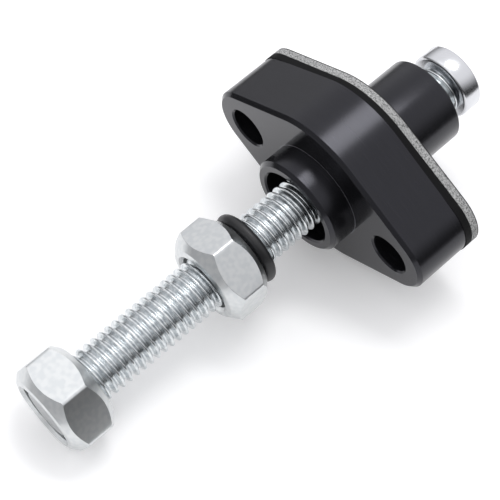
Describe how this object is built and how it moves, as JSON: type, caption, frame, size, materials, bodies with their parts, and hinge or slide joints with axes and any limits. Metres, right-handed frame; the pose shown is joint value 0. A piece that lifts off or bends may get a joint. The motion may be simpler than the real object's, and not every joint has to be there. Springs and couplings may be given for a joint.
{
  "type": "manual cam chain tensioner",
  "caption": "Manual cam chain tensioner: black diamond-flanged housing on gaskets, with a threaded adjuster, hex head, lock nut, seal ring and thrust foot.",
  "frame": {"origin": "where the screw's axis crosses the mounting plane, the engine side of the fibre gasket", "axes": "+X along the screw into the engine, Y along the flange through both bolt holes, +Z across the flange"},
  "size_m": [0.0782, 0.0412, 0.0266],
  "materials": {
    "anodised": "black anodised, machined",
    "black_gasket": "matt",
    "fibre_gasket": "matt, speckled compressed fibre",
    "zinc": "bright zinc plate",
    "seal": "satin",
    "turned_steel": "turned and polished"
  },
  "bodies": {
    "housing": {"body": "anodised", "gasket_black": "black_gasket", "gasket_fibre": "fibre_gasket"},
    "thrust": {"foot": "turned_steel"},
    "adjuster": {"screw": "zinc", "head_nut": "zinc"},
    "seal": {"seal_ring": "seal"},
    "locker": {"lock_nut": "zinc"}
  },
  "joints": [
    {"name": "foot_travel", "type": "slide", "parent": "housing", "child": "thrust", "axis": [1, 0, 0], "range_m": [-0.0027, 0.0204]},
    {"name": "screw_turn", "type": "hinge", "parent": "thrust", "child": "adjuster", "pos_m": [0, 0, 0], "axis": [1, 0, 0], "range_deg": [-785, 5880]},
    {"name": "seal_travel", "type": "slide", "parent": "housing", "child": "seal", "axis": [1, 0, 0], "range_m": [0, 0.0104]},
    {"name": "lock_nut_turn", "type": "hinge", "parent": "seal", "child": "locker", "pos_m": [0, 0, 0], "axis": [1, 0, 0], "range_deg": [0, 3000]}
  ],
  "couplings": [
    {"joint": "screw_turn", "follows": "foot_travel", "rad_per_m": 5026.5},
    {"joint": "lock_nut_turn", "follows": "seal_travel", "rad_per_m": 5026.5}
  ]
}
